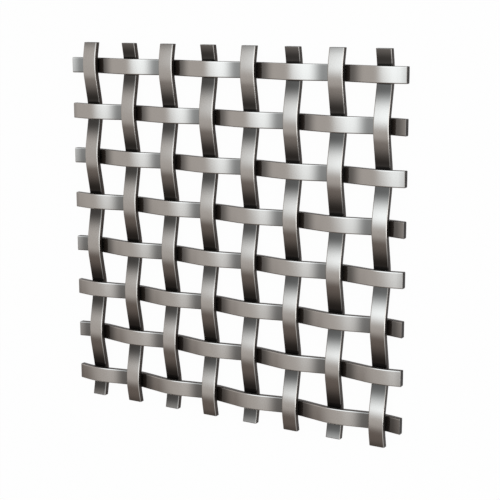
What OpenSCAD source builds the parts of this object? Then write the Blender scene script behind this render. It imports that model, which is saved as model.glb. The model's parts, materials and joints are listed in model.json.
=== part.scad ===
// Decorative grille sheet: flat steel strips crimped into waves and woven over and under each other.
// The sheet lies flat with its front face up. Upright strips run along Y, cross strips along X.
// The origin is at the middle of the sheet's outline, level with its lowest crests. Millimetres.

/* [Sheet] */
// Number of upright strips, side by side along X
upright_count = 8; // [2:1:12]
// Number of cross strips, side by side along Y
cross_count = 8; // [2:1:12]
// Distance from the middle of one strip to the middle of the next
pitch = 19.05; // [16:0.05:30]
// How far the cut ends reach past the middle of the outermost crossings
overhang = 9.525; // [6:0.025:15]

/* [Strip] */
// Width of the flat strip
strip_w = 6.35; // [4:0.05:8]
// Thickness of the flat strip
strip_t = 2.38; // [1:0.01:3]
// Radius of the strip's long edges
edge_r = 0.4; // [0.2:0.05:0.45]

/* [Crimp] */
// Straight run of a strip from one crossing's bend to the next
ramp_len = 8; // [4:0.5:10]
// Clearance between two strips where one bears on the other
seat_gap = 0.04; // [0.02:0.01:0.1]

/* [Hidden] */
UPRIGHTS = [for (n = [1 : upright_count]) str("upright_strip_", n)];
CROSSES = [for (n = [1 : cross_count]) str("cross_strip_", n)];

steel = [0.66, 0.64, 0.61];
// Steps in a full turn of the section's round corners and of the bends
corner_steps = 24;
bend_steps = 180;
// Angle by which a bend is made too long before it is cut at its crest
spare_turn = 2;

// A strip's middle line is an arc over each crossing, and straight ramps join the arcs. For a wave of this
// height above and below its mid-plane, these give the ramps' slope and the arcs' radius.
function slope(height) = 2 * atan(2 * height / (pitch + ramp_len));
function radius(height) = (pitch - ramp_len * cos(slope(height))) / (2 * sin(slope(height)));

// Two bent strips bear on each other at the four corners of their crossing, where the flat of the section
// ends. This is the wave height that seats strips bent to this radius.
bearing = strip_w / 2 - edge_r;
function seated(r) = seat_gap / 2 + r - sqrt(pow(r - strip_t / 2, 2) - pow(bearing, 2));

// The radius follows from the height and the height from the radius, so they are found in turns
function settled(height, turns) = turns == 0 ? height : settled(seated(radius(height)), turns - 1);
wave_h = settled(strip_t / 2, 12);
ramp_slope = slope(wave_h);
bend_r = radius(wave_h);

// Distance of strip n from the middle of a row of strips, counted from 0
function place(n, count) = (n - (count - 1) / 2) * pitch;

// Section of the flat strip, with its thickness along X and its width along Y
module section() {
    flat_t = strip_t - 2 * edge_r;
    flat_w = strip_w - 2 * edge_r;
    square([strip_t, flat_w], center = true);
    square([flat_t, strip_w], center = true);
    for (x = [-1, 1], y = [-1, 1])
        translate([x * flat_t / 2, y * flat_w / 2]) circle(edge_r, $fn = corner_steps);
}

// Straight ramp along X, centred on the origin
module ramp() {
    rotate([0, 90, 0]) linear_extrude(ramp_len, center = true) section();
}

// Bend that leaves the ramp's far end and curves up
module bend() {
    translate([ramp_len / 2, 0, bend_r]) rotate([90, 90, 0])
        rotate_extrude(angle = ramp_slope + spare_turn, $fn = bend_steps)
            translate([bend_r, 0]) section();
}

// Strip from a crest at X = 0 down towards the trough one pitch away, cut off square after a length.
// It is the same shape turned over, so pieces that meet at a crest or a trough match exactly.
module half_wave(length) {
    intersection() {
        translate([pitch / 2, 0, 0]) rotate([0, ramp_slope, 0]) {
            ramp();
            bend();
            rotate([0, 180, 0]) bend();
        }
        translate([0, -strip_w, -pitch]) cube([length, 2 * strip_w, 2 * pitch]);
    }
}

// Whole strip along X, which starts over the first strip that it crosses, or else under it. Half waves
// follow each other and turn over at every crossing, and the cut ends reach past the outermost ones.
module strip(crossings, starts_over) {
    mirror([0, 0, starts_over ? 0 : 1]) translate([place(0, crossings), 0, 0]) {
        mirror([1, 0, 0]) half_wave(overhang);
        for (n = [0 : crossings - 1])
            translate([n * pitch, 0, 0]) mirror([0, 0, n % 2])
                half_wave(n < crossings - 1 ? pitch : overhang);
    }
}

// Lifts a strip so that the sheet's lowest crests are at Z = 0
module lay_on_floor() {
    translate([0, 0, wave_h + strip_t / 2]) children();
}

// Upright strip n, counted from 0 at the left. The first one is in front at its top crossing.
module upright_strip(n) {
    color(steel) lay_on_floor() translate([place(n, upright_count), 0, 0])
        rotate([0, 0, -90]) strip(cross_count, n % 2 == 0);
}

// Cross strip n, counted from 0 at the top. The first one is behind at its left crossing.
module cross_strip(n) {
    color(steel) lay_on_floor() translate([0, -place(n, cross_count), 0])
        strip(upright_count, n % 2 == 1);
}

for (n = [0 : upright_count - 1]) upright_strip(n);
for (n = [0 : cross_count - 1]) cross_strip(n);
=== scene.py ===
"""Dresses the decorative grille sheet: crimped stainless strips woven over and under each other.

The sheet lies flat on a pale floor, as its CAD frame does, and the camera looks down on it. Every strip
is swept by Geometry Nodes along the bends and straight ramps of its own CAD solid, with the rolled edges
of the flat bar and its square cut ends, and it stands for that solid.
"""

from __future__ import annotations

import json
import logging
import math
from dataclasses import dataclass
from enum import Enum

import bpy
from mathutils import Matrix, Vector

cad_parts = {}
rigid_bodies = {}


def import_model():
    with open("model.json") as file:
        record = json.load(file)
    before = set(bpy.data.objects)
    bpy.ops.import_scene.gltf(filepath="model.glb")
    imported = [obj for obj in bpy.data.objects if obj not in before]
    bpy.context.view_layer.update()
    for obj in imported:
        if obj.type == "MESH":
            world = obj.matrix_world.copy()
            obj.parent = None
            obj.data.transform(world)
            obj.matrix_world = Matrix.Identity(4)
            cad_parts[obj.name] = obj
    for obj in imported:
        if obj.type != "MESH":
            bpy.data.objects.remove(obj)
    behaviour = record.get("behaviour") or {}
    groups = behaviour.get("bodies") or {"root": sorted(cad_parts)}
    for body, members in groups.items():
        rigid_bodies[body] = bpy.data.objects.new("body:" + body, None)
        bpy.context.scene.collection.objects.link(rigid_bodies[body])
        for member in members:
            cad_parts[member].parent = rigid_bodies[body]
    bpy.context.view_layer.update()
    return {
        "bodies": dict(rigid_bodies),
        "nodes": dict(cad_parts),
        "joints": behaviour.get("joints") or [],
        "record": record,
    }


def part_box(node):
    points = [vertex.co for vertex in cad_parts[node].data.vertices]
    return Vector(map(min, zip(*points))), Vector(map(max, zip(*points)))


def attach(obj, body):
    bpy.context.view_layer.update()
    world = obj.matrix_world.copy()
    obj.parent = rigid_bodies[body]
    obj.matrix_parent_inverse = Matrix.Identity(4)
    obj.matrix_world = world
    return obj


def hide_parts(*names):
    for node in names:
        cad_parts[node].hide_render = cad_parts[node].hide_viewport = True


Socket = bpy.types.NodeSocket
Value = Socket | float | int
Colour = tuple[float, float, float, float]
Pair = tuple[float, float]

LOG = logging.getLogger("grille_sheet")
MM = 0.001
BLACK: Colour = (0.0, 0.0, 0.0, 1.0)
WHITE: Colour = (1.0, 1.0, 1.0, 1.0)
RUN_ATTRIBUTE = "strip_run"
# Name of the attribute with the share of colour that the painted shade of the recesses leaves at each point.
SHADE_ATTRIBUTE = "strip_tone"


class Lay(Enum):
    """Which way a strip runs in the sheet. The value starts the names of its CAD nodes."""

    UPRIGHT = "upright_strip"
    CROSS = "cross_strip"

    def node(self, number: int) -> str:
        """Names the CAD node of the strip with this number, counted from one."""
        return f"{self.value}_{number}"


class Kind(Enum):
    """The kinds of node group that this script builds."""

    GEOMETRY = "GeometryNodeTree"
    SHADER = "ShaderNodeTree"


class Mixed(Enum):
    """What a Mix node mixes."""

    NUMBERS = "FLOAT"
    COLOURS = "RGBA"


@dataclass(frozen=True)
class Wiring:
    """Adds nodes to a tree and wires them, so that a tree reads as a list of steps.

    Attributes:
        tree: The node tree that the nodes go into.
    """

    tree: bpy.types.NodeTree

    def feed(self, socket: Socket, value: Value | bool | tuple | str) -> None:
        """Links a socket to another, or sets its value.

        Args:
            socket: The input to feed.
            value: An output of another node, or a plain value.
        """
        if isinstance(value, bpy.types.NodeSocket):
            self.tree.links.new(value, socket)
        else:
            socket.default_value = value

    def node(
        self, kind: str, inputs: dict[str | int, object] | None = None, **settings: object
    ) -> bpy.types.Node:
        """Adds one node.

        Args:
            kind: Blender's name of the node's type.
            inputs: What each input gets, by its name or its place.
            **settings: The node's own properties.

        Returns:
            The new node.
        """
        made = self.tree.nodes.new(kind)
        for name, value in settings.items():
            setattr(made, name, value)
        for name, value in (inputs or {}).items():
            self.feed(made.inputs[name], value)
        return made

    def math(self, operation: str, *values: Value) -> Socket:
        """Adds a math node.

        Args:
            operation: What the node does, as Blender names it.
            *values: One or two numbers or outputs.

        Returns:
            The node's result.
        """
        made = self.node("ShaderNodeMath", operation=operation)
        for socket, value in zip(made.inputs, values):
            self.feed(socket, value)
        return made.outputs[0]

    def blend(self, low: Value, high: Value, value: Socket, start: Value = 0.0, end: Value = 1.0) -> Socket:
        """Turns a value smoothly from start to end as it passes from low to high.

        Args:
            low: Where the turn starts.
            high: Where the turn ends.
            value: What is turned.
            start: The result at low and before.
            end: The result at high and after.

        Returns:
            The blended value.
        """
        made = self.node(
            "ShaderNodeMapRange",
            {"Value": value, "From Min": low, "From Max": high, "To Min": start, "To Max": end},
            interpolation_type="SMOOTHERSTEP",
        )
        return made.outputs["Result"]

    def mix(self, kind: Mixed, share: Socket, first: Value | Colour, second: Value | Colour) -> Socket:
        """Mixes two numbers or two colours.

        Args:
            kind: Which of the two.
            share: The second one's share.
            first: The result at 0.
            second: The result at 1.

        Returns:
            The mixture.
        """
        made = self.node("ShaderNodeMix", data_type=kind.value)
        in_use = [socket for socket in made.inputs if socket.enabled]
        for socket, value in zip(in_use, (share, first, second)):
            self.feed(socket, value)
        return next(socket for socket in made.outputs if socket.enabled)

    def choose(self, test: Socket, no: Value, yes: Value) -> Socket:
        """Gives one number where a test fails and another where it holds."""
        inputs = {"Switch": test, "False": no, "True": yes}
        return self.node("GeometryNodeSwitch", inputs, input_type="FLOAT").outputs[0]

    def split(self, vector: Socket) -> tuple[Socket, Socket, Socket]:
        """Takes a vector apart into its three numbers."""
        return tuple(self.node("ShaderNodeSeparateXYZ", {0: vector}).outputs)

    def vector(self, *values: Value) -> Socket:
        """Puts up to three numbers together as a vector."""
        return self.node("ShaderNodeCombineXYZ", dict(enumerate(values))).outputs[0]


def new_group(
    kind: Kind, name: str, inputs: dict[str, tuple[str, object]], outputs: dict[str, str]
) -> Wiring:
    """Starts a node group with named inputs and outputs.

    Args:
        kind: Geometry or shader.
        name: The group's name.
        inputs: Each input's socket type and default value, or None for no default.
        outputs: Each output's socket type.

    Returns:
        The wiring of the new, empty group.
    """
    tree = bpy.data.node_groups.new(name, kind.value)
    for title, (socket_type, value) in inputs.items():
        socket = tree.interface.new_socket(title, in_out="INPUT", socket_type=socket_type)
        if value is not None:
            socket.default_value = value
    for title, socket_type in outputs.items():
        tree.interface.new_socket(title, in_out="OUTPUT", socket_type=socket_type)
    return Wiring(tree)


@dataclass(frozen=True)
class FlatBar:
    """The rolled flat bar that the strips are cut from.

    Attributes:
        width: Across the wide face.
        thickness: Through the bar.
        edge_radius: Of the four rolled edges.
        crown: How much the wide faces fall from their middle to the rolled edges.
        arc_steps: Faces round one rolled edge.
        face_steps: Faces across half of a wide face.
        support: Width of the narrow face beside each rolled edge, which keeps the shading of the flats true.
    """

    width: float
    thickness: float = 2.38 * MM
    edge_radius: float = 0.4 * MM
    crown: float = 0.012 * MM
    arc_steps: int = 8
    face_steps: int = 3
    support: float = 0.12 * MM

    def corner(self) -> list[Pair]:
        """Works out a quarter of the outline, from the middle of a narrow side to that of a wide face.

        Returns:
            Its points, as (across, through).
        """
        flat = self.width / 2 - self.edge_radius
        side = self.thickness / 2 - self.edge_radius - self.crown
        points = [(self.width / 2, 0.0), (self.width / 2, side - self.support)]
        for step in range(self.arc_steps + 1):
            angle = math.pi / 2 * step / self.arc_steps
            across = flat + self.edge_radius * math.cos(angle)
            points.append((across, side + self.edge_radius * math.sin(angle)))
        start = flat - self.support
        for step in range(self.face_steps + 1):
            across = start * (1 - step / self.face_steps)
            points.append((across, self.thickness / 2 - self.crown * (across / flat) ** 2))
        return points

    def outline(self) -> list[Pair]:
        """Mirrors the quarter into the whole closed outline.

        Returns:
            Its points, as (across, through).
        """
        quarter = self.corner()
        upper = quarter + [(-across, through) for across, through in reversed(quarter[:-1])]
        lower = [(across, -through) for across, through in reversed(upper[1:-1])]
        return upper + lower

    def as_curve(self) -> bpy.types.Object:
        """Makes the outline an object that the strips' node tree sweeps.

        Returns:
            The closed curve.
        """
        points = self.outline()
        curve = bpy.data.curves.new("bar_section", "CURVE")
        curve.dimensions = "3D"
        spline = curve.splines.new("POLY")
        spline.points.add(len(points) - 1)
        for point, (across, through) in zip(spline.points, points):
            point.co = (across, through, 0.0, 1.0)
        spline.use_cyclic_u = True
        made = bpy.data.objects.new("bar_section", curve)
        bpy.context.scene.collection.objects.link(made)
        return made


@dataclass(frozen=True)
class Crimp:
    """The wave that is pressed into every strip: bends over the crossings and straight ramps between them.

    Attributes:
        pitch: From one crossing to the next.
        rise: Of the bar's middle line above the sheet's middle plane at a crossing.
        ramp: Length of the straight ramp.
        length: Of the crimped strip, from cut end to cut end.
        crossings: How many strips one strip meets.
    """

    pitch: float
    rise: float
    ramp: float
    length: float
    crossings: int

    @property
    def slope(self) -> float:
        """The ramps' slope, in radians."""
        return 2 * math.atan(2 * self.rise / (self.pitch + self.ramp))

    @property
    def radius(self) -> float:
        """The bends' radius, at the bar's middle line."""
        return (self.pitch - self.ramp * math.cos(self.slope)) / (2 * math.sin(self.slope))


@dataclass(frozen=True)
class PaintedShade:
    """Painted shade: a strip's colour is darkened towards the places where it dives under the others, in
    place of the shade that falls in the weave's recesses.

    Attributes:
        start: How deep in the weave the faces start to darken, from 0 on a crest to 1 under a strip.
        end: How deep they are darkest.
        floor: The share of the steel's colour that the painted shade leaves where it is darkest.
    """

    start: float
    end: float
    floor: float


@dataclass
class StripTree:
    """The Geometry Nodes tree that sweeps, crimps and places one strip.

    Attributes:
        bar: The bar's section.
        crimp: The strip's wave.
        ring_gap: From one ring of the mesh to the next, along the strip.
        end_bevel: Size of the bevel round the cut ends.
        bevel_rings: Rings of faces that make up the bevel.
        square_end: Length at each end over which the section stays upright, so that the cut is square.
        cap_corners: From how many corners a face counts as a flat cut end, and is shaded flat.
    """

    bar: FlatBar
    crimp: Crimp
    ring_gap: float = 0.55 * MM
    end_bevel: float = 0.16 * MM
    bevel_rings: int = 3
    square_end: float = 0.45 * MM
    cap_corners: int = 5

    def __post_init__(self) -> None:
        """Starts the tree, with the sizes as its inputs, and wires it."""
        bar, crimp = self.bar, self.crimp
        self.wires = new_group(
            Kind.GEOMETRY,
            "crimped_strip",
            {
                "Section": ("NodeSocketObject", None),
                "Length": ("NodeSocketFloat", crimp.length),
                "Pitch": ("NodeSocketFloat", crimp.pitch),
                "Crossings": ("NodeSocketInt", crimp.crossings),
                "Rise": ("NodeSocketFloat", crimp.rise),
                "Slope": ("NodeSocketFloat", crimp.slope),
                "Bend Radius": ("NodeSocketFloat", crimp.radius),
                "Width": ("NodeSocketFloat", bar.width),
                "Thickness": ("NodeSocketFloat", bar.thickness),
                "Rings": ("NodeSocketInt", self.rings),
                "End Bevel": ("NodeSocketFloat", self.end_bevel),
                "Square End": ("NodeSocketFloat", self.square_end),
                "Starts Over": ("NodeSocketInt", 1),
                "Tone Start": ("NodeSocketFloat", 0.0),
                "Tone End": ("NodeSocketFloat", 1.0),
                "Darkest": ("NodeSocketFloat", 1.0),
                "Turn": ("NodeSocketFloat", 0.0),
                "Place": ("NodeSocketVector", (0.0, 0.0, 0.0)),
                "Finish": ("NodeSocketMaterial", None),
            },
            {"Strip": "NodeSocketGeometry"},
        )
        self.given = self.wires.node("NodeGroupInput").outputs
        self.build()

    @property
    def rings(self) -> int:
        """The number of rings along a strip, odd so that one lies in the middle."""
        return 2 * round(self.crimp.length / self.ring_gap / 2) + 1

    def stations(self) -> tuple[Socket, Socket]:
        """Places the rings along the straight bar, close together round the bevelled ends.

        Returns:
            Each ring's place along the bar, and how far its outline is drawn in for the bevel.
        """
        wires, given = self.wires, self.given
        index = wires.node("GeometryNodeInputIndex").outputs[0]
        last = wires.math("SUBTRACT", given["Rings"], 1)
        from_end = wires.math("MINIMUM", index, wires.math("SUBTRACT", last, index))
        even = wires.math("MULTIPLY", wires.math("DIVIDE", from_end, last), given["Length"])
        step = math.pi / 2 / self.bevel_rings
        turned = wires.math("MULTIPLY", wires.math("MINIMUM", from_end, self.bevel_rings), step)
        cosine, sine = wires.math("COSINE", turned), wires.math("SINE", turned)
        bevel = wires.math("MULTIPLY", given["End Bevel"], wires.math("SUBTRACT", 1, cosine))
        drawn_in = wires.math("MULTIPLY", given["End Bevel"], wires.math("SUBTRACT", 1, sine))
        support = wires.math("MULTIPLY", given["End Bevel"], 2)
        # Both limits lie halfway between two ring numbers, so that rounding can't move a ring past them.
        bevel_limit = self.bevel_rings + 0.5
        support_limit = bevel_limit + 1
        near = wires.choose(wires.math("GREATER_THAN", from_end, bevel_limit), bevel, support)
        inset = wires.choose(wires.math("GREATER_THAN", from_end, support_limit), near, even)
        half = wires.math("MULTIPLY", given["Length"], 0.5)
        side = wires.math("SIGN", wires.math("SUBTRACT", wires.math("MULTIPLY", index, 2), last))
        return wires.math("MULTIPLY", side, wires.math("SUBTRACT", half, inset)), drawn_in

    def wave(self, along: Socket) -> tuple[Socket, Socket, Socket]:
        """Works out the crimped middle line at a place along the strip.

        Args:
            along: The distance from the middle of the strip.

        Returns:
            The middle line's height, and the sine and cosine of its slope.
        """
        wires, given = self.wires, self.given
        first = wires.math("MULTIPLY", wires.math("SUBTRACT", given["Crossings"], 1), 0.5)
        place = wires.math("ADD", wires.math("DIVIDE", along, given["Pitch"]), first)
        crossing = wires.math("ROUND", place)
        away = wires.math("MULTIPLY", wires.math("SUBTRACT", place, crossing), given["Pitch"])
        parity = wires.math("FLOORED_MODULO", wires.math("ADD", crossing, given["Starts Over"]), 2)
        side = wires.math("SUBTRACT", wires.math("MULTIPLY", parity, 2), 1)
        bend_end = wires.math("MULTIPLY", given["Bend Radius"], wires.math("SINE", given["Slope"]))
        bend_start = wires.math("MULTIPLY", bend_end, -1)
        in_bend = wires.math("MINIMUM", wires.math("MAXIMUM", away, bend_start), bend_end)
        sine = wires.math("DIVIDE", wires.math("MULTIPLY", in_bend, -1), given["Bend Radius"])
        cosine = wires.math("SQRT", wires.math("SUBTRACT", 1, wires.math("MULTIPLY", sine, sine)))
        drop = wires.math("MULTIPLY", given["Bend Radius"], wires.math("SUBTRACT", 1, cosine))
        past = wires.math("MAXIMUM", wires.math("SUBTRACT", wires.math("ABSOLUTE", away), bend_end), 0)
        fall = wires.math("MULTIPLY", past, wires.math("TANGENT", given["Slope"]))
        height = wires.math("SUBTRACT", wires.math("SUBTRACT", given["Rise"], drop), fall)
        return wires.math("MULTIPLY", height, side), wires.math("MULTIPLY", sine, side), cosine

    def crimped(self, run: Socket) -> tuple[Socket, Socket]:
        """Carries a point of the straight bar onto the wave, with the cut ends kept upright.

        Args:
            run: The point's place along, across and through the straight bar.

        Returns:
            The point's place on the crimped strip, and the share of the steel's colour that the painted shade
            leaves there, by how deep the point lies in the weave as seen from its own side of the sheet.
        """
        wires, given = self.wires, self.given
        along, across, through = wires.split(run)
        height, sine, cosine = self.wave(along)
        half = wires.math("MULTIPLY", given["Length"], 0.5)
        to_end = wires.math("SUBTRACT", half, wires.math("ABSOLUTE", along))
        squared = wires.math("LESS_THAN", to_end, given["Square End"])
        tilted = wires.math("MULTIPLY", through, sine)
        lean = wires.math("MULTIPLY", tilted, wires.math("SUBTRACT", 1, squared))
        level = wires.math("MULTIPLY", through, cosine)
        upright = wires.math("DIVIDE", through, cosine)
        taller = wires.math("MULTIPLY", wires.math("SUBTRACT", upright, level), squared)
        top = wires.math("ADD", height, wires.math("ADD", level, taller))
        place = wires.vector(wires.math("SUBTRACT", along, lean), across, top)
        crest = wires.math("DIVIDE", height, given["Rise"])
        lift = wires.math("MULTIPLY", crest, wires.math("DIVIDE", through, given["Thickness"]))
        depth = wires.math("SUBTRACT", 0.5, lift)
        # Painted shade: the deeper the point lies in the weave, the darker its colour is painted.
        tone = wires.blend(given["Tone Start"], given["Tone End"], depth, 1.0, given["Darkest"])
        return place, tone

    def straight_bar(self) -> tuple[Socket, Socket]:
        """Sweeps the section along a straight rail.

        Returns:
            The bar's mesh and, for each of its points, the place along, across and through the straight bar.
        """
        wires, given = self.wires, self.given
        line = wires.node("GeometryNodeCurvePrimitiveLine", {"Start": (0, 0, 0), "End": (1, 0, 0)}).outputs[0]
        rail = wires.node("GeometryNodeResampleCurve", {"Curve": line, "Count": given["Rings"]}).outputs[0]
        rail, station = self.captured(rail, wires.vector(*self.stations()))
        section = wires.node("GeometryNodeObjectInfo", {"Object": given["Section"]}).outputs["Geometry"]
        outline, point = self.captured(section, wires.node("GeometryNodeInputPosition").outputs[0])
        swept = wires.node(
            "GeometryNodeCurveToMesh", {"Curve": rail, "Profile Curve": outline, "Fill Caps": True}
        ).outputs[0]
        along, drawn_in, _ = wires.split(station)
        across, through, _ = wires.split(point)
        sides = []
        for place, size in ((across, given["Width"]), (through, given["Thickness"])):
            share = wires.math("DIVIDE", wires.math("MULTIPLY", drawn_in, 2), size)
            sides.append(wires.math("MULTIPLY", place, wires.math("SUBTRACT", 1, share)))
        return swept, wires.vector(along, *sides)

    def captured(self, geometry: Socket, value: Socket) -> tuple[Socket, Socket]:
        """Stores a vector on a geometry's points.

        Args:
            geometry: What carries the value.
            value: The vector.

        Returns:
            The geometry and the stored vector.
        """
        made = self.wires.node("GeometryNodeCaptureAttribute", domain="POINT")
        made.capture_items.new("VECTOR", "Value")
        self.wires.feed(made.inputs[0], geometry)
        self.wires.feed(made.inputs[1], value)
        return made.outputs[0], made.outputs[1]

    def stored(self, geometry: Socket, name: str, kind: str, value: Socket) -> Socket:
        """Stores a value on a geometry's points under a name that the material reads.

        Args:
            geometry: What carries the value.
            name: The attribute's name.
            kind: The attribute's data type, as Blender names it.
            value: The value.

        Returns:
            The geometry.
        """
        inputs = {"Geometry": geometry, "Name": name}
        made = self.wires.node("GeometryNodeStoreNamedAttribute", inputs, data_type=kind, domain="POINT")
        self.wires.feed(made.inputs["Value"], value)
        return made.outputs[0]

    def build(self) -> None:
        """Wires the whole tree: straight bar, wave, flat cut ends, place in the sheet and finish."""
        wires, given = self.wires, self.given
        bar, run = self.captured(*self.straight_bar())
        place, tone = self.crimped(run)
        bar = wires.node("GeometryNodeSetPosition", {"Geometry": bar, "Position": place}).outputs[0]
        bar = self.stored(bar, RUN_ATTRIBUTE, "FLOAT_VECTOR", run)
        # The material reads the painted shade of the recesses from this attribute.
        bar = self.stored(bar, SHADE_ATTRIBUTE, "FLOAT", tone)
        corners = wires.node("GeometryNodeInputMeshFaceNeighbors").outputs["Vertex Count"]
        smooth = wires.math("LESS_THAN", corners, self.cap_corners)
        inputs = {"Geometry": bar, "Shade Smooth": smooth}
        bar = wires.node("GeometryNodeSetShadeSmooth", inputs, domain="FACE").outputs[0]
        turned = wires.vector(0, 0, given["Turn"])
        inputs = {"Geometry": bar, "Translation": given["Place"], "Rotation": turned}
        bar = wires.node("GeometryNodeTransform", inputs).outputs[0]
        bar = wires.node("GeometryNodeRealizeInstances", {"Geometry": bar}).outputs[0]
        inputs = {"Geometry": bar, "Material": given["Finish"]}
        bar = wires.node("GeometryNodeSetMaterial", inputs).outputs[0]
        wires.node("NodeGroupOutput", {"Strip": bar})

    def sockets(self) -> dict[str, str]:
        """Gives each input's identifier by its name."""
        items = self.wires.tree.interface.items_tree
        return {item.name: item.identifier for item in items if item.in_out == "INPUT"}


@dataclass(frozen=True)
class SatinSteel:
    """Satin stainless steel, with painted shade on its narrow sides, its cut ends and in the weave's
    recesses.

    Attributes:
        steel: Colour of the satin faces.
        edge: Colour of the narrow sides: near black, painted shade in place of what the steel would reflect.
        cut: Colour of the cut ends: near black, painted shade likewise.
        satin: Roughness of the faces.
        satin_spread: How far the roughness strays along the grain.
        mill: Roughness of the narrow sides and the cut ends.
        grain_depth: Height of the lengthwise grain.
        grain_lines: Lines of the grain in a metre across the strip.
        grain_stretch: How much longer than wide the lines are.
        grain_bands: How much broader the grain's broad bands are than its fine lines.
        side_fade: How far in from the narrow sides their finish starts to fade and is gone.
        cut_fade: The same from the cut ends.
        rolled_fade: The same from the narrow sides for the rolled edges, which lose the grain and some of the
            painted shade.
        rolled_shade_spared: How much of the painted shade the rolled edges are spared, so that they stay
            lighter than the faces beside them.
    """

    steel: Colour = (0.66, 0.64, 0.61, 1.0)
    edge: Colour = (0.066, 0.053, 0.046, 1.0)
    cut: Colour = (0.026, 0.019, 0.016, 1.0)
    satin: float = 0.137
    satin_spread: float = 0.03
    mill: float = 0.45
    grain_depth: float = 0.002 * MM
    grain_lines: float = 9000.0
    grain_stretch: float = 60.0
    grain_bands: float = 14.0
    side_fade: Pair = (0.06 * MM, 0.11 * MM)
    cut_fade: Pair = (0.05 * MM, 0.09 * MM)
    rolled_fade: Pair = (0.24 * MM, 0.42 * MM)
    rolled_shade_spared: float = 0.25

    def grain(self) -> bpy.types.NodeTree:
        """Builds the shader group of the lengthwise grain.

        Returns:
            The group.
        """
        wires = new_group(
            Kind.SHADER,
            "lengthwise_grain",
            {
                "Run": ("NodeSocketVector", (0.0, 0.0, 0.0)),
                "Lines per Metre": ("NodeSocketFloat", self.grain_lines),
                "Stretch": ("NodeSocketFloat", self.grain_stretch),
                "Band Width": ("NodeSocketFloat", self.grain_bands),
                "Roughness": ("NodeSocketFloat", self.satin),
                "Spread": ("NodeSocketFloat", self.satin_spread),
            },
            {"Height": "NodeSocketFloat", "Roughness": "NodeSocketFloat"},
        )
        given = wires.node("NodeGroupInput").outputs
        along, across, through = wires.split(given["Run"])
        drawn = wires.vector(wires.math("DIVIDE", along, given["Stretch"]), across, through)
        fine_inputs = {"Vector": drawn, "Scale": given["Lines per Metre"], "Detail": 2.0, "Roughness": 0.6}
        fine = wires.node("ShaderNodeTexNoise", fine_inputs).outputs["Fac"]
        bands = wires.math("DIVIDE", given["Lines per Metre"], given["Band Width"])
        broad_inputs = {"Vector": drawn, "Scale": bands, "Detail": 3.0, "Roughness": 0.55}
        broad = wires.node("ShaderNodeTexNoise", broad_inputs).outputs["Fac"]
        strays = wires.math("SUBTRACT", wires.math("ADD", fine, broad), 1)
        rough = wires.math("ADD", given["Roughness"], wires.math("MULTIPLY", strays, given["Spread"]))
        wires.node("NodeGroupOutput", {"Height": fine, "Roughness": rough})
        return wires.tree

    def mill_edge(self, bar: FlatBar, length: float) -> bpy.types.NodeTree:
        """Builds the shader group that finds the narrow sides, the cut ends and the rolled edges.

        Args:
            bar: The strips' section.
            length: Of the strips.

        Returns:
            The group.
        """
        fades = {"Side": self.side_fade, "Cut": self.cut_fade, "Rolled": self.rolled_fade}
        inputs = {
            "Run": ("NodeSocketVector", (0.0, 0.0, 0.0)),
            "Half Width": ("NodeSocketFloat", bar.width / 2),
            "Half Length": ("NodeSocketFloat", length / 2),
        }
        for name, (start, end) in fades.items():
            inputs[f"{name} Fades"] = ("NodeSocketFloat", start)
            inputs[f"{name} Gone"] = ("NodeSocketFloat", end)
        wires = new_group(Kind.SHADER, "mill_edge", inputs, dict.fromkeys(fades, "NodeSocketFloat"))
        given = wires.node("NodeGroupInput").outputs
        along, across, _ = wires.split(given["Run"])
        from_side = wires.math("SUBTRACT", given["Half Width"], wires.math("ABSOLUTE", across))
        from_cut = wires.math("SUBTRACT", given["Half Length"], wires.math("ABSOLUTE", along))
        masks = {}
        for name in fades:
            inside = from_cut if name == "Cut" else from_side
            masks[name] = wires.blend(given[f"{name} Fades"], given[f"{name} Gone"], inside, 1.0, 0.0)
        wires.node("NodeGroupOutput", masks)
        return wires.tree

    def bared_tone(self) -> bpy.types.NodeTree:
        """Builds the shader group that spares the rolled edges some of the painted shade.

        Returns:
            The group.
        """
        wires = new_group(
            Kind.SHADER,
            "bared_tone",
            {
                "Tone": ("NodeSocketFloat", 1.0),
                "Rolled": ("NodeSocketFloat", 0.0),
                "Rolled Share": ("NodeSocketFloat", self.rolled_shade_spared),
            },
            {"Tone": "NodeSocketFloat"},
        )
        given = wires.node("NodeGroupInput").outputs
        edge_relief = wires.math("MULTIPLY", given["Rolled"], given["Rolled Share"])
        lifted = wires.math("MULTIPLY", wires.math("SUBTRACT", 1, given["Tone"]), edge_relief)
        wires.node("NodeGroupOutput", {"Tone": wires.math("ADD", given["Tone"], lifted)})
        return wires.tree

    def material(self, bar: FlatBar, length: float) -> bpy.types.Material:
        """Makes the material.

        Args:
            bar: The strips' section.
            length: Of the strips.

        Returns:
            The finish of every strip.
        """
        made = bpy.data.materials.new("satin_steel")
        made.use_nodes = True
        made.diffuse_color = self.steel
        wires = Wiring(made.node_tree)
        run = wires.node("ShaderNodeAttribute", attribute_name=RUN_ATTRIBUTE).outputs["Vector"]
        # The painted shade of the recesses, stored on the strip's points.
        dark = wires.node("ShaderNodeAttribute", attribute_name=SHADE_ATTRIBUTE).outputs["Fac"]
        grain = wires.node("ShaderNodeGroup", {"Run": run}, node_tree=self.grain())
        edge = wires.node("ShaderNodeGroup", {"Run": run}, node_tree=self.mill_edge(bar, length))
        side, cut, rolled = (edge.outputs[name] for name in ("Side", "Cut", "Rolled"))
        # The rolled edges are spared part of the painted shade of the recesses.
        tone = wires.node("ShaderNodeGroup", {"Tone": dark, "Rolled": rolled}, node_tree=self.bared_tone())
        # Painted shade: the narrow sides and the cut ends are coloured near black.
        edge_coloured = wires.mix(Mixed.COLOURS, side, self.steel, self.edge)
        edge_coloured = wires.mix(Mixed.COLOURS, cut, edge_coloured, self.cut)
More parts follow.
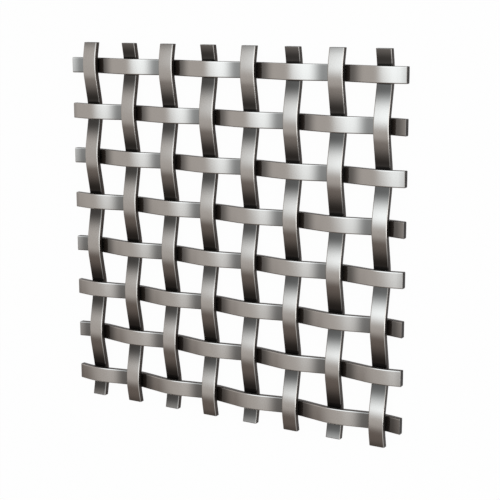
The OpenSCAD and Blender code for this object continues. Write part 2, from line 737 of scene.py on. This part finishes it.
        # Painted shade: the colour is darkened towards black in the weave's recesses.
        colour = wires.mix(Mixed.COLOURS, tone.outputs["Tone"], BLACK, edge_coloured)
        milled = wires.math("MAXIMUM", side, cut)
        rough = wires.mix(Mixed.NUMBERS, milled, grain.outputs["Roughness"], self.mill)
        height = wires.math("MULTIPLY", grain.outputs["Height"], wires.math("SUBTRACT", 1, rolled))
        bump = wires.node("ShaderNodeBump", {"Strength": 1.0, "Distance": self.grain_depth, "Height": height})
        shader = made.node_tree.nodes["Principled BSDF"]
        wires.feed(shader.inputs["Base Color"], colour)
        wires.feed(shader.inputs["Roughness"], rough)
        wires.feed(shader.inputs["Normal"], bump.outputs["Normal"])
        wires.feed(shader.inputs["Metallic"], 1.0)
        return made


@dataclass
class WovenSheet:
    """The sheet: two layers of crimped strips that pass over and under each other.

    The painted shade in the weave's recesses is deeper on the upright strips than on the cross ones.

    Attributes:
        ramp: Length of the straight ramps between the bends.
        upright_shade: The painted shade of the upright strips' recesses.
        cross_shade: The painted shade of the cross strips' recesses.
        finish: The strips' steel.
    """

    frame: dict[str, object]
    ramp: float = 8.0 * MM
    upright_shade: PaintedShade = PaintedShade(start=0.070, end=0.873, floor=0.135)
    cross_shade: PaintedShade = PaintedShade(start=0.254, end=0.811, floor=0.295)
    finish: SatinSteel = SatinSteel()

    def __post_init__(self) -> None:
        """Takes the strips' number, section and wave from the frame, and makes their material."""
        names = self.frame["nodes"]
        self.counts = {lay: sum(name.startswith(lay.value) for name in names) for lay in Lay}
        low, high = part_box(Lay.UPRIGHT.node(1))
        beside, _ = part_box(Lay.UPRIGHT.node(2))
        self.middle = (low.z + high.z) / 2
        self.bar = FlatBar(width=high.x - low.x)
        self.crimp = Crimp(
            pitch=beside.x - low.x,
            rise=(high.z - low.z - self.bar.thickness) / 2,
            ramp=self.ramp,
            length=high.y - low.y,
            crossings=self.counts[Lay.CROSS],
        )
        self.steel = self.finish.material(self.bar, self.crimp.length)

    def place(self, lay: Lay, number: int) -> tuple[Vector, float, bool]:
        """Finds where a strip lies.

        In both layers the even strips start over the first strip that they meet, and the odd ones under it.

        Args:
            lay: Which way it runs.
            number: The strip's number, counted from one.

        Returns:
            The strip's middle, its turn about the upright axis, and whether its first crossing is over.
        """
        low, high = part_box(lay.node(number))
        middle = Vector(((low.x + high.x) / 2, (low.y + high.y) / 2, self.middle))
        turn = math.pi / 2 if lay is Lay.UPRIGHT else 0.0
        return middle, turn, number % 2 == 0

    def strip(self, tree: StripTree, section: bpy.types.Object, lay: Lay, number: int) -> bpy.types.Object:
        """Makes one strip as a plain mesh that stands for its CAD node.

        Args:
            tree: The node tree that makes strips.
            section: The bar's outline.
            lay: Which way it runs.
            number: The strip's number, counted from one.

        Returns:
            The strip's object.
        """
        middle, turn, over = self.place(lay, number)
        tone = self.upright_shade if lay is Lay.UPRIGHT else self.cross_shade
        values = {
            "Section": section,
            "Turn": turn,
            "Place": middle,
            "Starts Over": int(over),
            "Tone Start": tone.start,
            "Tone End": tone.end,
            "Darkest": tone.floor,
            "Finish": self.steel,
        }
        bare = bpy.data.meshes.new("bare")
        made = bpy.data.objects.new(f"woven_{lay.node(number)}", bare)
        bpy.context.scene.collection.objects.link(made)
        modifier = made.modifiers.new("crimp", "NODES")
        modifier.node_group = tree.wires.tree
        sockets = tree.sockets()
        for name, value in values.items():
            modifier[sockets[name]] = value
        made.update_tag()
        evaluated = made.evaluated_get(bpy.context.evaluated_depsgraph_get())
        mesh = bpy.data.meshes.new_from_object(evaluated)
        mesh.name = made.name
        made.modifiers.remove(modifier)
        made.data = mesh
        bpy.data.meshes.remove(bare)
        return made

    def build(self) -> None:
        """Makes every strip and hands it to the frame."""
        section = self.bar.as_curve()
        tree = StripTree(self.bar, self.crimp)
        for lay in Lay:
            for number in range(1, self.counts[lay] + 1):
                made = self.strip(tree, section, lay, number)
                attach(made, "root")
                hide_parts(lay.node(number))
                LOG.info("%s: %d faces", made.name, len(made.data.polygons))
        bpy.data.objects.remove(section)


@dataclass(frozen=True)
class SoftBox:
    """A large soft lamp.

    Attributes:
        name: The lamp's name.
        azimuth: Its direction from the sheet in degrees, from the top of the sheet towards the right.
        elevation: Its direction above the floor in degrees.
        distance: From the middle of the sheet.
        size: The lamp's two sides.
        radiance: How bright its face is, where 1 is white.
    """

    name: str
    azimuth: float
    elevation: float
    distance: float
    size: Pair
    radiance: float

    def build(self) -> None:
        """Adds the lamp, facing the middle of the sheet."""
        turn, tilt = math.radians(self.azimuth), math.radians(self.elevation)
        away = Vector((math.sin(turn) * math.cos(tilt), math.cos(turn) * math.cos(tilt), math.sin(tilt)))
        data = bpy.data.lights.new(self.name, "AREA")
        data.shape = "RECTANGLE"
        data.size, data.size_y = self.size
        data.energy = self.radiance * math.pi * self.size[0] * self.size[1]
        lamp = bpy.data.objects.new(self.name, data)
        bpy.context.scene.collection.objects.link(lamp)
        lamp.location = away * self.distance
        lamp.rotation_mode = "QUATERNION"
        lamp.rotation_quaternion = away.to_track_quat("Z", "Y")
        LOG.info("lamp %s", self.name)


@dataclass(frozen=True)
class SoftSky:
    """The surroundings: dim at the left, dark at the lower left, bright overhead and plain at the right.

    Places in it are told by how far a direction points to the sheet's right and to its top, from -1 to 1.

    Attributes:
        dim: Colour at the left.
        dark: Colour at the lower left.
        bright: Colour overhead and towards the top.
        plain: Colour at the far right.
        dark_span: How far towards the top the dark starts to fade and is gone.
        dark_lean: How much sooner that happens, for each step to the right.
        dark_side: How far to the right the dark starts to fade and is gone at any height.
        side_span: How far to the right the bright part starts and is full.
        side_lean: How much later that happens, for each step towards the top.
        rise_span: How far towards the top the bright part starts and is full.
        rise_lean: How much sooner that happens, for each step to the right.
        plain_span: How far to the right the plain part starts and is full.
    """

    dim: Colour = (0.513, 0.484, 0.467, 1.0)
    dark: Colour = (0.163, 0.136, 0.122, 1.0)
    bright: Colour = (1.46, 1.55, 1.62, 1.0)
    plain: Colour = (0.6, 0.6, 0.6, 1.0)
    dark_span: Pair = (-0.74, -0.45)
    dark_lean: float = 0.43
    dark_side: Pair = (-0.3, 0.2)
    side_span: Pair = (-0.64, -0.35)
    side_lean: float = 0.06
    rise_span: Pair = (-0.44, 0.01)
    rise_lean: float = 0.37
    plain_span: Pair = (-0.15, 0.35)

    def build(self) -> None:
        """Makes the world."""
        world = bpy.data.worlds.new("studio")
        bpy.context.scene.world = world
        world.use_nodes = True
        world.node_tree.nodes.clear()
        wires = Wiring(world.node_tree)
        right, top, _ = wires.split(wires.node("ShaderNodeTexCoord").outputs["Generated"])
        above_dark = wires.math("ADD", top, wires.math("MULTIPLY", right, self.dark_lean))
        lit = wires.blend(*self.dark_span, above_dark)
        lit = wires.math("MAXIMUM", lit, wires.blend(*self.dark_side, right))
        sideways = wires.math("SUBTRACT", right, wires.math("MULTIPLY", top, self.side_lean))
        upwards = wires.math("ADD", top, wires.math("MULTIPLY", right, self.rise_lean))
        side = wires.blend(*self.side_span, sideways)
        rise = wires.blend(*self.rise_span, upwards)
        colour = wires.mix(Mixed.COLOURS, lit, self.dark, self.dim)
        colour = wires.mix(Mixed.COLOURS, wires.math("MULTIPLY", side, rise), colour, self.bright)
        colour = wires.mix(Mixed.COLOURS, wires.blend(*self.plain_span, right), colour, self.plain)
        back = wires.node("ShaderNodeBackground", {"Color": colour, "Strength": 1.0}).outputs[0]
        wires.node("ShaderNodeOutputWorld", {"Surface": back})


@dataclass(frozen=True)
class Studio:
    """The pale floor, the soft lamp and the surroundings.

    Attributes:
        floor_reach: Half the floor's width, in metres.
        floor_colour: What the floor shows in its own light and shadow.
        floor_white: How much of the floor's look to the camera and in the metal is its own white.
        sky: The surroundings.
        lamp: The lamp beyond the sheet's right edge.
    """

    floor_reach: float = 30.0
    floor_colour: Colour = (0.8, 0.8, 0.8, 1.0)
    floor_white: float = 0.97
    sky: SoftSky = SoftSky()
    lamp: SoftBox = SoftBox(
        name="right_box", azimuth=85.0, elevation=28.0, distance=1.1, size=(0.9, 0.8), radiance=2.0
    )

    def floor(self) -> None:
        """Lays the floor, which looks white to the camera and in the metal, and keeps the shadows."""
        reach = self.floor_reach
        mesh = bpy.data.meshes.new("floor")
        corners = [(-reach, -reach, 0.0), (reach, -reach, 0.0), (reach, reach, 0.0), (-reach, reach, 0.0)]
        mesh.from_pydata(corners, [], [(0, 1, 2, 3)])
        made = bpy.data.objects.new("floor", mesh)
        bpy.context.scene.collection.objects.link(made)
        paint = bpy.data.materials.new("pale_floor")
        paint.use_nodes = True
        paint.node_tree.nodes.clear()
        wires = Wiring(paint.node_tree)
        matt = wires.node("ShaderNodeBsdfDiffuse", {"Color": self.floor_colour}).outputs[0]
        glow = wires.node("ShaderNodeEmission", {"Color": WHITE, "Strength": 1.0}).outputs[0]
        path = wires.node("ShaderNodeLightPath").outputs
        seen = wires.math("MAXIMUM", path["Is Camera Ray"], path["Is Glossy Ray"])
        seen = wires.math("MAXIMUM", seen, path["Is Transmission Ray"])
        share = wires.math("MULTIPLY", seen, self.floor_white)
        both = wires.node("ShaderNodeMixShader", {0: share, 1: matt, 2: glow}).outputs[0]
        wires.node("ShaderNodeOutputMaterial", {"Surface": both})
        mesh.materials.append(paint)
        LOG.info("floor")

    def build(self) -> None:
        """Lays the floor, sets the surroundings and lights the lamp."""
        self.floor()
        self.sky.build()
        self.lamp.build()


@dataclass(frozen=True)
class PhotoCamera:
    """The camera at the photograph's viewing angle.

    Attributes:
        across: Turn from straight above towards the sheet's right edge, in degrees.
        along: Turn towards the sheet's top edge, in degrees.
        roll: Turn about the line of sight, in degrees.
        distance: From the point that it looks at.
        aim: The point that it looks at, from the middle of the sheet.
        lens: Focal length in millimetres.
        sensor: Sensor width in millimetres.
        reach: The nearest and the farthest that it sees, in metres.
    """

    across: float = 30.48
    along: float = 11.19
    roll: float = -0.133
    distance: float = 514.1 * MM
    aim: Pair = (9.43 * MM, -4.46 * MM)
    lens: float = 92.82
    sensor: float = 36.0
    reach: Pair = (0.01, 100.0)

    def build(self, middle: float) -> None:
        """Adds the camera.

        Args:
            middle: Height of the sheet's middle plane.
        """
        turn, rise = math.radians(self.across), math.radians(self.along)
        back = Vector((math.sin(turn) * math.cos(rise), math.sin(rise), math.cos(turn) * math.cos(rise)))
        sheet_top = Vector((0.0, 1.0, 0.0))
        right = sheet_top.cross(back).normalized()
        up = back.cross(right)
        level = Matrix((right, up, back)).transposed()
        turned = level @ Matrix.Rotation(math.radians(self.roll), 3, "Z")
        data = bpy.data.cameras.new("photo_camera")
        data.lens = self.lens
        data.sensor_width = self.sensor
        data.clip_start, data.clip_end = self.reach
        camera = bpy.data.objects.new("photo_camera", data)
        bpy.context.scene.collection.objects.link(camera)
        camera.rotation_mode = "QUATERNION"
        camera.rotation_quaternion = turned.to_quaternion()
        camera.location = Vector((*self.aim, middle)) + back * self.distance
        bpy.context.scene.camera = camera


def main() -> None:
    """Builds the sheet, the studio and the camera."""
    logging.basicConfig(level=logging.INFO, format="%(name)s: %(message)s")
    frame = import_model()
    bpy.context.scene.view_settings.view_transform = "Standard"
    sheet = WovenSheet(frame)
    sheet.build()
    Studio().build()
    PhotoCamera().build(sheet.middle)


if __name__ == "__main__":
    main()
